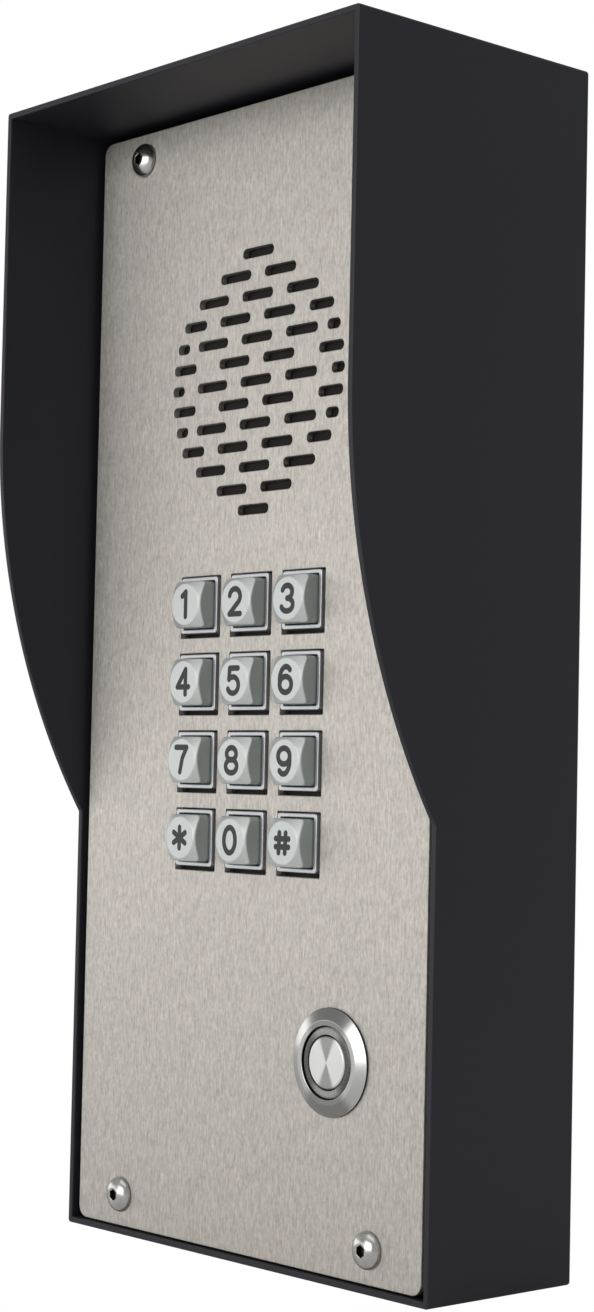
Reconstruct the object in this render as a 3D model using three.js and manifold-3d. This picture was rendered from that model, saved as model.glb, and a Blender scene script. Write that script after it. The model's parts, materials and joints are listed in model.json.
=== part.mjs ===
// A surface-mounted door intercom panel: a hooded sheet-steel housing, a brushed front plate with a sounding
// grille, a twelve-key metal keypad and an illuminated call button, and the electronics behind them.
// Millimetres. +X is right and +Z up, seen from the street; the rear face lies at y = 0 on the wall, and
// the front faces -Y. A "depth" below is the distance from the wall, so a point at depth d has y = -d.
import * as THREE from "three";
import { mergeVertices } from "three/addons/utils/BufferGeometryUtils.js";
import Module from "manifold-3d";

// Housing
const housingWidth = 131.4;
const housingHeight = 282.4;
const rimDepth = 46.2;
const hoodDepth = 74;
const sheet = 1.5;
const hoodStraightEnd = 60; // height at which the hood's straight front edge ends
const hoodCurveEnd = -36; // height at which its curve meets the rim
const hoodCurveSteps = 20;
const fixingHole = { width: 6, length: 10, x: 40, z: 100 };
const cableHole = { x: -8, z: -95, radius: 10 };
const grommetShape = { bore: 6, clearance: 0.3, lip: 3, lipFront: 2, nose: 8, noseFront: 4 };

// Front plate
const plateWidth = 125;
const plateHeight = 277;
const plateThickness = 2;
const plateCorner = 3;
const plateFront = rimDepth - 1;
const plateRear = plateFront - plateThickness;
const plateCentre = 0.4 + sheet + (plateHeight - housingHeight) / 2; // stands 0.4 above the bottom sheet
const gap = 0.2; // between pieces that rest on each other

// Corner screws, M5 low button head, and the pillars that take them
const screwX = 45.4;
const screwTop = 130.9;
const screwBottom = -131.5;
const screwHead = { radius: 4.35, height: 2.3, flat: 0.42, socket: 1.45, socketDepth: 1.4 };
const domeShares = [1, 0.95, 0.8, 0.6, screwHead.flat]; // of the head's radius, from its rim to its flat top
const screwShank = { radius: 2.2, length: 12 };
const screwClearance = 2.75;
const pillar = { radius: 4, bore: 2.5, boreDepth: 14 };

// Grille: rows of slots whose outer ends follow a circle
const grilleZ = 69.6;
const grilleRadius = 31.75;
const slotLength = 11.35;
const slotWidth = 2.4;
const columnPitch = 16.43;
const rowPitch = 5.22;
const rowsEachSide = 6;
const edgeRows = 3; // the rows this near the middle end in a shorter slot at each side
const edgeSlotLong = 8.6;
const edgeSlotShort = 4.5;

// Keypad
const keyPitch = 19;
const topRowZ = 15.3;
const keypadZ = topRowZ - 1.5 * keyPitch;
const keyLabels = ["1", "2", "3", "4", "5", "6", "7", "8", "9", "star", "0", "hash"];
const openingSide = 15.2;
const castingLift = 0.4; // the casting sits this much above the middle of the plate's openings
const collarSide = 13.8;
const collarHole = 11.9;
const collarFront = plateFront + 0.5;
const castingSize = { width: 66, height: 82, front: plateRear - 1.2, rear: 39 };
const castingSkirt = { rear: 33.8, sideWidth: 6, endWidth: 5 };
const capSide = 11.3;
const capCorner = 1;
const capReach = capSide * 0.75; // a radius that clears the cap's corners
const capFront = plateFront + 5;
const capDiscRadius = 5.1;
const capSlope = Math.tan(THREE.MathUtils.degToRad(33)); // fall of the cap's cone outside its flat disc
const keyFlange = { side: 13.2, front: 38.8, rear: 37.6 };
const keyPost = { radius: 2.5, rear: 36.6 };
const mat = { front: 33.6, rear: 32.4, domeFront: 35.2, domeRadius: 4.5, domeTip: 3 };
const keypadBoard = { front: 32.2, rear: 30.6 };
const keypadStud = { radius: 1.5, hole: 1.7, x: 30, z: 38.5, rear: 27 };
const smallNut = { radius: 3.1, height: 2.4, bore: 1.7 };

// Speaker and microphone
const speakerZ = 75;
const cloth = { radius: 34, front: plateRear - gap, rear: 42.5 };
const speakerSeal = { inner: 26, outer: 29, front: 42.3, rear: 40.8 };
const basket = { rim: 29, rimRear: 39.2, front: 40.6, flare: 26.8, base: 14.5, hole: 8, rear: 27 };
const basketWall = { flare: 1.2, base: 0.6, floor: 1.2 }; // its thickness at each end of the slope and behind
const coneCap = { radius: 4.5, edge: 34.6, front: 35 };
const coneThroat = { radius: 7.4, depth: 33.2 };
const coneEdge = { radius: 21, depth: 38.9 };
const coneRoll = { radius: 22.3, depth: 40 };
const coneRim = { radius: 23.6, front: 39.6, rear: 39 };
const conePaper = 0.8;
const coneLean = 0.2; // how far the paper's rear face stands outside its front face
const magnet = { radius: 14, rear: 15, front: 26.8, chamfer: 1 };
const speakerClamp = { inner: 27.4, outer: 42, width: 8, rear: 38, thickness: 1, foot: 2 };
const speakerStud = { x: 37, rear: 34.5 };
const microphone = { z: grilleZ - rowsEachSide * rowPitch, radius: 3, front: 41.3, rear: 36 };
const microphoneBoot = { radius: 5, front: 42.3, rear: 35, lip: 1, lipThickness: 0.7 };

// Call button
const buttonX = 32;
const buttonZ = -91;
const buttonHole = 9.7;
const bezel = { radius: 12.5, edge: 0.4, top: 9.7, height: 1.5, bore: 8.4, ledge: 43.5 };
const barrel = { radius: 9.4, bore: 7, rear: 28 };
const lightRing = { inner: 6.4, outer: 8.15, shoulder: 7.8, rear: 43.7, shoulderHeight: 1, height: 1.3 };
const actuatorShape = { radius: 6.1, height: 1.4, edge: 0.2, capRear: 39, stem: 3, rear: 30 };
const sealShape = { radius: 12.2, rear: 42.2 };
const bigNut = { radius: 12.7, rear: 38.6, front: 42 };
const switchBody = { radius: 8.6, front: 27.8, rear: 14 };
const switchBlade = { thickness: 0.8, width: 3, pitch: 7, rear: 9 };

// Main board
const board = { width: 96, height: 72, z: -12, rear: 9, front: 10.6 };
const spacerInset = 5;
const spacerHole = 1.75;
const spacerShape = { radius: 3.5, neck: 1.5, barb: 2.3, tip: 1.2, tipHeight: 2 };
const relay = { width: 19, height: 15.5, depth: 15, x: -26, z: -24 };
const terminals = { width: 38, height: 10, depth: 11, x: 8, z: -40 };
const wireEntry = { side: 3, pitch: 7, floor: 4 };
const capacitorShape = { radius: 5, crimp: 4.5, crimpStart: 15, length: 16, x: 30, z: 10 };

// Leads: the points of each route are [x, depth, z]
const leadRadius = 1.2;
const leadSteps = 14;
const speakerRoute = [[13, 24, 58], [22, 21, 46], [33, 19, 32], [38, 16, 22], [38, 11.4, 20]];
const buttonRoute = [[30, 11, -86], [24, 12, -74], [14, 20, -60], [9, 26, -48], [8, 24, -41]];
const ribbon = { width: 15, thickness: 0.9, start: 4, bow: 9, steps: 12, z: -10 };

// Sides of a round piece, from the bezel down to a lead
const finest = 40;
const smooth = 32;
const medium = 24;
const headSides = 20;
const coarse = 16;
const small = 10;
const least = 8;
const hexagon = 6;
const past = 1; // how far a cutter, or a piece to be joined, runs past a face
const lap = 0.1; // the least two joined solids run into each other

const wasm = await Module();
wasm.setup();

const finishes = {
  powderCoat: [0x2f2e33, 0.6, 0.3],
  brushedSteel: [0xbeb8b0, 0.38, 1],
  polishedSteel: [0xc8c6c2, 0.15, 1],
  casting: [0xb4b4b2, 0.35, 1],
  lens: [0x9a9c98, 0.3, 0],
  blackPlastic: [0x17181a, 0.5, 0],
  blackRubber: [0x121212, 0.9, 0],
  greyRubber: [0x5c5e60, 0.9, 0],
  cloth: [0x17120f, 1, 0],
  circuitBoard: [0x14532d, 0.55, 0],
  nylon: [0xe4e1d6, 0.6, 0],
  plated: [0xb8b9b4, 0.35, 1],
  ferrite: [0x2a2b2d, 0.7, 0.2],
  paper: [0x1d1b19, 0.95, 0],
  terminalGreen: [0x2e6b3f, 0.5, 0],
  relayCase: [0x1f3f78, 0.45, 0],
  leadGrey: [0x6f7173, 0.7, 0],
  leadRed: [0x8c2a22, 0.7, 0],
};
const materials = Object.fromEntries(
  Object.entries(finishes).map(([name, [color, roughness, metalness]]) => [
    name,
    new THREE.MeshStandardMaterial({ color, roughness, metalness }),
  ]),
);

const panel = new THREE.Group();

// A closed geometry as a manifold-3d solid.
function solidOf(geometry) {
  const bare = geometry.clone();
  bare.deleteAttribute("normal");
  bare.deleteAttribute("uv");
  const merged = mergeVertices(bare, 1e-4);
  return new wasm.Manifold(
    new wasm.Mesh({
      numProp: 3,
      vertProperties: merged.attributes.position.array,
      triVerts: new Uint32Array(merged.index.array),
    }),
  );
}

// A manifold-3d solid as a three.js geometry.
function geometryOf(solid) {
  const mesh = solid.getMesh();
  const geometry = new THREE.BufferGeometry();
  geometry.setAttribute("position", new THREE.BufferAttribute(mesh.vertProperties, 3));
  geometry.setIndex(new THREE.BufferAttribute(mesh.triVerts, 1));
  geometry.computeVertexNormals();
  return geometry;
}

// Adds one named piece to the panel, at a place across its front.
function addPiece(name, solid, material, x = 0, z = 0) {
  const piece = new THREE.Mesh(geometryOf(solid), materials[material]);
  piece.name = name;
  piece.position.set(x, 0, z);
  panel.add(piece);
}

function arc(x, z, radius, from, to, steps) {
  return Array.from({ length: steps + 1 }, (_, i) => {
    const angle = from + ((to - from) * i) / steps;
    return new THREE.Vector2(x + radius * Math.cos(angle), z + radius * Math.sin(angle));
  });
}

function circle(radius, x = 0, z = 0, sides = coarse) {
  return arc(x, z, radius, 0, 2 * Math.PI, sides).slice(0, -1);
}

function rectangle(width, height, x = 0, z = 0) {
  return [
    new THREE.Vector2(x - width / 2, z - height / 2),
    new THREE.Vector2(x + width / 2, z - height / 2),
    new THREE.Vector2(x + width / 2, z + height / 2),
    new THREE.Vector2(x - width / 2, z + height / 2),
  ];
}

function roundedRectangle(width, height, radius, x = 0, z = 0, steps = 3) {
  const quarter = Math.PI / 2;
  return rectangle(width - 2 * radius, height - 2 * radius, x, z).flatMap((corner, i) =>
    arc(corner.x, corner.y, radius, (i - 2) * quarter, (i - 1) * quarter, steps),
  );
}

// An obround outline, its length along X or, with upright, along Z.
function obround(length, width, x = 0, z = 0, upright = false) {
  const reach = (length - width) / 2;
  const turn = upright ? Math.PI / 2 : 0;
  const end = (side) =>
    arc(
      x + side * reach * Math.cos(turn),
      z + side * reach * Math.sin(turn),
      width / 2,
      turn + (side > 0 ? -1 : 1) * (Math.PI / 2),
      turn + (side > 0 ? 1 : 3) * (Math.PI / 2),
      4,
    );
  return [...end(1), ...end(-1)];
}

// A flat piece parallel to the plate, between two depths, with holes through it.
function slab(outline, rear, front, holes = []) {
  const depth = front - rear;
  const geometry = new THREE.ExtrudeGeometry(new THREE.Shape(outline), { depth, bevelEnabled: false });
  geometry.translate(0, 0, rear);
  geometry.rotateX(Math.PI / 2);
  const whole = solidOf(geometry);
  if (holes.length === 0) return whole;
  return whole.subtract(joined(holes.map((hole) => slab(hole, rear - past, front + past))));
}

// A turned piece about an axis along Y. The profile holds [radius, depth] pairs; it starts and ends on the
// axis, or closes on itself.
function turned(profile, sides = smooth) {
  const points = profile.map(([radius, depth]) => new THREE.Vector2(radius, -depth));
  if (THREE.ShapeUtils.area(points) < 0) points.reverse();
  if (points.every((point) => point.x > 0)) points.push(points[0].clone());
  return solidOf(new THREE.LatheGeometry(points, sides));
}

// An outline in the Y-Z plane, [depth, height] pairs, extruded across a width.
function crossExtrusion(outline, width) {
  const points = outline.map(([depth, height]) => new THREE.Vector2(-depth, height));
  const geometry = new THREE.ExtrudeGeometry(new THREE.Shape(points), { depth: width, bevelEnabled: false });
  geometry.translate(0, 0, -width / 2);
  const axes = new THREE.Matrix4().makeBasis(
    new THREE.Vector3(0, 1, 0),
    new THREE.Vector3(0, 0, 1),
    new THREE.Vector3(1, 0, 0),
  );
  geometry.applyMatrix4(axes);
  return solidOf(geometry);
}

function joined(solids) {
  return solids.reduce((whole, solid) => whole.add(solid));
}

// The housing: one box whose side cheeks sweep forward into a hood, open at the front.
function housing() {
  const top = housingHeight / 2;
  const reach = hoodDepth - rimDepth;
  const drop = hoodStraightEnd - hoodCurveEnd;
  const radius = (drop * drop + reach * reach) / (2 * reach); // the curve leaves the straight edge smoothly
  const edge = Array.from({ length: hoodCurveSteps + 1 }, (_, i) => {
    const height = hoodCurveEnd + (drop * i) / hoodCurveSteps;
    const below = hoodStraightEnd - height;
    return [hoodDepth - radius + Math.sqrt(radius * radius - below * below), height];
  });
  const outside = [[0, -top], [rimDepth, -top], ...edge, [hoodDepth, top], [0, top]];
  const inner = { width: housingWidth - 2 * sheet, height: housingHeight - 2 * sheet };
  const holes = [circle(cableHole.radius, cableHole.x, cableHole.z, smooth)];
  for (const x of [-fixingHole.x, fixingHole.x]) {
    for (const z of [-fixingHole.z, fixingHole.z]) {
      holes.push(obround(fixingHole.length, fixingHole.width, x, z, true));
    }
  }
  return crossExtrusion(outside, housingWidth)
    .subtract(slab(rectangle(inner.width, inner.height), sheet, hoodDepth + past))
    .subtract(joined(holes.map((hole) => slab(hole, -past, sheet + past))));
}

// The grille's slots, row by row from the bottom.
function grilleSlots() {
  const slots = [];
  for (let row = -rowsEachSide; row <= rowsEachSide; row++) {
    const z = grilleZ + row * rowPitch;
    const fromMiddle = Math.abs(row);
    const fullSlots = Math.min(rowsEachSide + 1 - fromMiddle, row % 2 === 0 ? 3 : 2);
    for (let i = 0; i < fullSlots; i++) {
      slots.push(obround(slotLength, slotWidth, (i - (fullSlots - 1) / 2) * columnPitch, z));
    }
    if (fromMiddle > edgeRows) continue;
    const length = row % 2 === 0 ? edgeSlotShort : edgeSlotLong;
    const end = Math.sqrt(grilleRadius ** 2 - (row * rowPitch) ** 2);
    slots.push(obround(length, slotWidth, end - length / 2, z));
    slots.push(obround(length, slotWidth, length / 2 - end, z));
  }
  return slots;
}

// Where each key stands, in the order of keyLabels.
const keyPlaces = keyLabels.map((label, i) => ({
  label,
  x: ((i % 3) - 1) * keyPitch,
  z: topRowZ - Math.floor(i / 3) * keyPitch,
}));
const screwPlaces = [
  { name: "top_left", x: -screwX, z: screwTop },
  { name: "top_right", x: screwX, z: screwTop },
  { name: "bottom_left", x: -screwX, z: screwBottom },
  { name: "bottom_right", x: screwX, z: screwBottom },
];
const keypadStuds = [-1, 1].flatMap((side) =>
  [-1, 1].map((end) => ({ x: side * keypadStud.x, z: keypadZ + castingLift + end * keypadStud.z })),
);
const keypadStudHoles = () => keypadStuds.map(({ x, z }) => circle(keypadStud.hole, x, z, small));
const speakerStuds = [-1, 1].map((side) => ({ x: side * speakerStud.x, z: speakerZ }));

function frontPlate() {
  const holes = [
    ...grilleSlots(),
    ...keyPlaces.map(({ x, z }) => rectangle(openingSide, openingSide, x, z)),
    ...screwPlaces.map(({ x, z }) => circle(screwClearance, x, z)),
    circle(buttonHole, buttonX, buttonZ, smooth),
  ];
  const outline = roundedRectangle(plateWidth, plateHeight, plateCorner, 0, plateCentre, 5);
  const stud = (x, z, rear) => slab(circle(keypadStud.radius, x, z, small), rear, plateRear + past);
  const studs = [
    ...keypadStuds.map(({ x, z }) => stud(x, z, keypadStud.rear)),
    ...speakerStuds.map(({ x, z }) => stud(x, z, speakerStud.rear)),
  ];
  return joined([slab(outline, plateRear, plateFront, holes), ...studs]);
}

function plateScrew() {
  const seat = plateFront + gap;
  const { radius, height, flat, socket, socketDepth } = screwHead;
  const rise = (share) => height * Math.sqrt((1 - share * share) / (1 - flat * flat)); // an ellipse
  const body = turned([
    [0, seat - screwShank.length],
    [screwShank.radius, seat - screwShank.length],
    [screwShank.radius, seat],
    ...domeShares.map((share) => [radius * share, seat + rise(share)]),
    [0, seat + height],
  ], headSides);
  const crown = seat + height;
  return body.subtract(slab(circle(socket, 0, 0, hexagon), crown - socketDepth, crown + past));
}

function platePillar() {
  const top = plateRear - gap;
  return turned([
    [0, sheet + gap],
    [pillar.radius, sheet + gap],
    [pillar.radius, top],
    [pillar.bore, top],
    [pillar.bore, top - pillar.boreDepth],
    [0, top - pillar.boreDepth],
  ], coarse);
}

// The keypad casting: a deep tray with a raised square collar round each key.
function keypadCasting() {
  const { width, height, front, rear } = castingSize;
  const { sideWidth, endWidth } = castingSkirt;
  const centre = keypadZ + castingLift;
  const keys = keyPlaces.map(({ x, z }) => ({ x, z: z + castingLift }));
  const keyHoles = keys.map(({ x, z }) => rectangle(collarHole, collarHole, x, z));
  const studHoles = keypadStudHoles();
  const outline = rectangle(width, height, 0, centre);
  const inside = rectangle(width - 2 * sideWidth, height - 2 * endWidth, 0, centre);
  const collar = ({ x, z }, i) =>
    slab(rectangle(collarSide, collarSide, x, z), rear, collarFront, [keyHoles[i]]);
  return joined([
    slab(outline, rear, front, [...keyHoles, ...studHoles]),
    slab(outline, castingSkirt.rear, rear + lap, [inside, ...studHoles]),
    ...keys.map(collar),
  ]);
}

// A key: a square cap with a flat round face that falls away to its corners, a retaining flange and a post.
function keyBody() {
  const start = keyFlange.front - past;
  const cone = turned([
    [0, start],
    [capReach, start],
    [capReach, capFront - (capReach - capDiscRadius) * capSlope],
    [capDiscRadius, capFront],
    [0, capFront],
  ], medium);
  const shaft = slab(roundedRectangle(capSide, capSide, capCorner, 0, 0, 2), start, capFront + past);
  const flange = slab(rectangle(keyFlange.side, keyFlange.side), keyFlange.rear, keyFlange.front);
  const post = slab(circle(keyPost.radius, 0, 0, small), keyPost.rear, keyFlange.rear + lap);
  return joined([cone.intersect(shaft), flange, post]);
}

function keypadMat() {
  const { width, height } = castingSize;
  const sheetOutline = rectangle(width, height, 0, keypadZ + castingLift);
  const dome = turned([
    [0, mat.front - lap],
    [mat.domeRadius, mat.front - lap],
    [mat.domeRadius, mat.front],
    [mat.domeTip, mat.domeFront],
    [0, mat.domeFront],
  ], small);
  const domes = keyPlaces.map(({ x, z }) => dome.translate([x, 0, z + castingLift]));
  return joined([slab(sheetOutline, mat.rear, mat.front, keypadStudHoles()), ...domes]);
}

// A hexagon nut, its radius to its corners, with its front face at the given depth.
function hexNut(radius, bore, height, front, sides) {
  return slab(circle(radius, 0, 0, hexagon), front - height, front, [circle(bore, 0, 0, sides)]);
}

function addHousing() {
  addPiece("housing", housing(), "powderCoat");
  addPiece("front_plate", frontPlate(), "brushedSteel");
  for (const { name, x, z } of screwPlaces) {
    addPiece("plate_screw_" + name, plateScrew(), "polishedSteel", x, z);
    addPiece("plate_pillar_" + name, platePillar(), "plated", x, z);
  }
  const { bore, clearance, lip, lipFront, nose, noseFront } = grommetShape;
  const neck = cableHole.radius - clearance;
  const flange = cableHole.radius + lip;
  const grommet = turned([
    [bore, gap],
    [neck, gap],
    [neck, sheet + gap],
    [flange, sheet + gap],
    [flange, sheet + lipFront],
    [nose, sheet + noseFront],
    [bore, sheet + noseFront],
  ], medium);
  addPiece("cable_grommet", grommet, "blackRubber", cableHole.x, cableHole.z);
}

function addKeypad() {
  const { width, height, front } = castingSize;
  const centre = keypadZ + castingLift;
  const outline = rectangle(width, height, 0, centre);
  const studHoles = keypadStudHoles();
  const collarHoles = keyPlaces.map(({ x, z }) => rectangle(openingSide, openingSide, x, z));
  const gasket = slab(outline, front + gap, plateRear - gap, [...collarHoles, ...studHoles]);
  addPiece("keypad_gasket", gasket, "greyRubber");
  addPiece("keypad_casting", keypadCasting(), "casting");
  for (const { label, x, z } of keyPlaces) {
    addPiece("key_" + label, keyBody(), "casting", x, z + castingLift);
  }
  addPiece("keypad_mat", keypadMat(), "greyRubber");
  addPiece("keypad_board", slab(outline, keypadBoard.rear, keypadBoard.front, studHoles), "circuitBoard");
  const nutFront = keypadBoard.rear - gap;
  keypadStuds.forEach(({ x, z }, i) => {
    const nut = hexNut(smallNut.radius, smallNut.bore, smallNut.height, nutFront, small);
    addPiece("keypad_nut_" + (i + 1), nut, "plated", x, z);
  });
}

function addGrilleCloth() {
  const disc = slab(circle(cloth.radius, 0, 0, medium), cloth.rear, cloth.front);
  addPiece("grille_cloth", disc, "cloth", 0, grilleZ);
}

// The driver: seal, pressed basket, paper cone with its rolled edge, and magnet.
function addDriver() {
  const seal = turned([
    [speakerSeal.inner, speakerSeal.rear],
    [speakerSeal.outer, speakerSeal.rear],
    [speakerSeal.outer, speakerSeal.front],
    [speakerSeal.inner, speakerSeal.front],
  ]);
  addPiece("speaker_gasket", seal, "blackRubber", 0, speakerZ);
  const frame = turned([
    [basket.rim, basket.front],
    [basket.rim, basket.rimRear],
    [basket.flare, basket.rimRear],
    [basket.base, basket.rear],
    [basket.hole, basket.rear],
    [basket.hole, basket.rear + basketWall.floor],
    [basket.base - basketWall.base, basket.rear + basketWall.floor],
    [basket.flare - basketWall.flare, basket.front],
  ]);
  addPiece("speaker_frame", frame, "plated", 0, speakerZ);
  const cone = turned([
    [0, coneCap.front],
    [coneCap.radius, coneCap.edge],
    [coneThroat.radius, coneThroat.depth],
    [coneEdge.radius, coneEdge.depth],
    [coneRoll.radius, coneRoll.depth],
    [coneRim.radius, coneRim.front],
    [coneRim.radius, coneRim.rear],
    [coneRoll.radius, coneRoll.depth - conePaper],
    [coneEdge.radius + coneLean, coneEdge.depth - conePaper],
    [coneThroat.radius + coneLean, coneThroat.depth - conePaper],
    [0, coneCap.front - conePaper],
  ], medium);
  addPiece("speaker_cone", cone, "paper", 0, speakerZ);
  const core = turned([
    [0, magnet.rear],
    [magnet.radius - magnet.chamfer, magnet.rear],
    [magnet.radius, magnet.rear + magnet.chamfer],
    [magnet.radius, magnet.front],
    [0, magnet.front],
  ], medium);
  addPiece("speaker_magnet", core, "ferrite", 0, speakerZ);
}

function addSpeakerClamps() {
  const { inner, outer, width, rear, thickness, foot } = speakerClamp;
  speakerStuds.forEach((stud, i) => {
    const side = Math.sign(stud.x);
    const strapX = (side * (inner + outer)) / 2;
    const strap = slab(rectangle(outer - inner, width, strapX), rear, rear + thickness, [
      circle(keypadStud.hole, stud.x, 0, small),
    ]);
    const leg = slab(rectangle(foot, width, side * (outer - foot / 2)), rear, plateRear - gap);
    addPiece("speaker_clamp_" + (i + 1), strap.add(leg), "plated", 0, speakerZ);
    const nut = hexNut(smallNut.radius, smallNut.bore, smallNut.height, rear - gap, small);
    addPiece("speaker_nut_" + (i + 1), nut, "plated", stud.x, speakerZ);
  });
}

function addMicrophone() {
  const { radius, front, rear, z } = microphone;
  const capsule = turned([[0, rear], [radius, rear], [radius, front], [0, front]], coarse);
  addPiece("microphone", capsule, "plated", 0, z);
  const boot = microphoneBoot;
  const sleeve = turned([
    [radius + gap, boot.rear],
    [boot.radius, boot.rear],
    [boot.radius, boot.front],
    [radius - boot.lip, boot.front],
    [radius - boot.lip, boot.front - boot.lipThickness],
    [radius + gap, boot.front - boot.lipThickness],
  ], coarse);
  addPiece("microphone_boot", sleeve, "blackRubber", 0, z);
}

// The call button: bevelled bezel with its barrel, light ring, moving actuator, and the parts behind.
function addCallButton() {
  const seat = plateFront + gap;
  const shell = turned([
    [bezel.radius, seat],
    [bezel.radius, seat + bezel.edge],
    [bezel.top, seat + bezel.height],
    [bezel.bore, seat + bezel.height],
    [bezel.bore, bezel.ledge],
    [barrel.bore, bezel.ledge],
    [barrel.bore, barrel.rear],
    [barrel.radius, barrel.rear],
    [barrel.radius, seat],
  ], finest);
  addPiece("button_bezel", shell, "polishedSteel", buttonX, buttonZ);
  const ring = turned([
    [lightRing.inner, lightRing.rear],
    [lightRing.outer, lightRing.rear],
    [lightRing.outer, seat + lightRing.shoulderHeight],
    [lightRing.shoulder, seat + lightRing.height],
    [lightRing.inner, seat + lightRing.height],
  ]);
  addPiece("button_light_ring", ring, "lens", buttonX, buttonZ);
  const { radius, edge, capRear, stem, rear } = actuatorShape;
  const face = seat + actuatorShape.height;
  const actuator = turned([
    [0, rear],
    [stem, rear],
    [stem, capRear],
    [radius, capRear],
    [radius, face - edge],
    [radius - edge, face],
    [0, face],
  ]);
  addPiece("button_actuator", actuator, "brushedSteel", buttonX, buttonZ);
  addButtonFixings();
}

// What holds the button behind the plate, and the switch that it works.
function addButtonFixings() {
  const sealFront = plateRear - gap;
  const seal = turned([
    [buttonHole, sealShape.rear],
    [sealShape.radius, sealShape.rear],
    [sealShape.radius, sealFront],
    [buttonHole, sealFront],
  ], medium);
  addPiece("button_seal", seal, "blackRubber", buttonX, buttonZ);
  const nut = hexNut(bigNut.radius, buttonHole, bigNut.front - bigNut.rear, bigNut.front, medium);
  addPiece("button_nut", nut, "plated", buttonX, buttonZ);
  const { radius, front, rear } = switchBody;
  const core = turned([[0, rear], [radius, rear], [radius, front], [0, front]], medium);
  const { thickness, width, pitch } = switchBlade;
  const blade = (x) => slab(rectangle(thickness, width, x), switchBlade.rear, rear + lap);
  const blades = [-pitch, 0, pitch].map(blade);
  addPiece("button_switch", joined([core, ...blades]), "blackPlastic", buttonX, buttonZ);
}

function addMainBoard() {
  const { width, height, z, rear, front } = board;
  const spacerX = width / 2 - spacerInset;
  const spacerZ = height / 2 - spacerInset;
  const corners = [-spacerX, spacerX].flatMap((x) =>
    [z - spacerZ, z + spacerZ].map((across) => ({ x, z: across })),
  );
  const holes = corners.map((corner) => circle(spacerHole, corner.x, corner.z, small));
  addPiece("main_board", slab(rectangle(width, height, 0, z), rear, front, holes), "circuitBoard");
  const { radius, neck, barb, tip, tipHeight } = spacerShape;
  const spacer = turned([
    [0, sheet + gap],
    [radius, sheet + gap],
    [radius, rear - gap],
    [neck, rear - gap],
    [neck, front + gap],
    [barb, front + gap],
    [tip, front + tipHeight],
    [0, front + tipHeight],
  ], small);
  corners.forEach((corner, i) => {
    addPiece("board_spacer_" + (i + 1), spacer, "nylon", corner.x, corner.z);
  });
}

function addComponents() {
  const seat = board.front + gap;
  const relayBody = slab(rectangle(relay.width, relay.height), seat, seat + relay.depth);
  addPiece("relay", relayBody, "relayCase", relay.x, relay.z);
  const { side, pitch, floor } = wireEntry;
  const entries = [-2, -1, 0, 1, 2].map((i) => rectangle(side, side, i * pitch, 0));
  const top = seat + terminals.depth;
  const block = slab(rectangle(terminals.width, terminals.height), seat, top).subtract(
    joined(entries.map((entry) => slab(entry, seat + floor, top + past))),
  );
  addPiece("terminal_block", block, "terminalGreen", terminals.x, terminals.z);
  const { radius, crimp, crimpStart, length, x, z } = capacitorShape;
  const capacitor = turned([
    [0, seat],
    [radius, seat],
    [radius, seat + crimpStart],
    [crimp, seat + length],
    [0, seat + length],
  ], coarse);
  addPiece("reservoir_capacitor", capacitor, "blackPlastic", x, z);
}

// A round lead along a route.
function lead(route) {
  const curve = new THREE.CatmullRomCurve3(route.map(([x, depth, z]) => new THREE.Vector3(x, -depth, z)));
  const section = new THREE.Shape(circle(leadRadius, 0, 0, least));
  const options = { steps: leadSteps, extrudePath: curve, bevelEnabled: false };
  return solidOf(new THREE.ExtrudeGeometry(section, options));
}

// The keypad's flat ribbon: a band that bows up on its way from the keypad board back to the main board.
function keypadRibbon() {
  const { width, thickness, start, bow, steps } = ribbon;
  const from = keypadBoard.rear - gap;
  const to = board.front + gap;
  const lower = Array.from({ length: steps + 1 }, (_, i) => {
    const t = i / steps;
    return [from + (to - from) * t, start + bow * Math.sin(t * Math.PI)];
  });
  const upper = lower.map(([depth, height]) => [depth, height + thickness]);
  return crossExtrusion([...lower, ...upper.reverse()], width);
}

function addLeads() {
  addPiece("keypad_ribbon", keypadRibbon(), "leadGrey", 0, ribbon.z);
  addPiece("speaker_lead", lead(speakerRoute), "leadRed");
  addPiece("button_lead", lead(buttonRoute), "leadRed");
}

addHousing();
addKeypad();
addGrilleCloth();
addDriver();
addSpeakerClamps();
addMicrophone();
addCallButton();
addMainBoard();
addComponents();
addLeads();

export default panel;
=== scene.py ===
import json
import math
import bmesh
import bpy
from mathutils import Matrix, Vector


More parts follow.
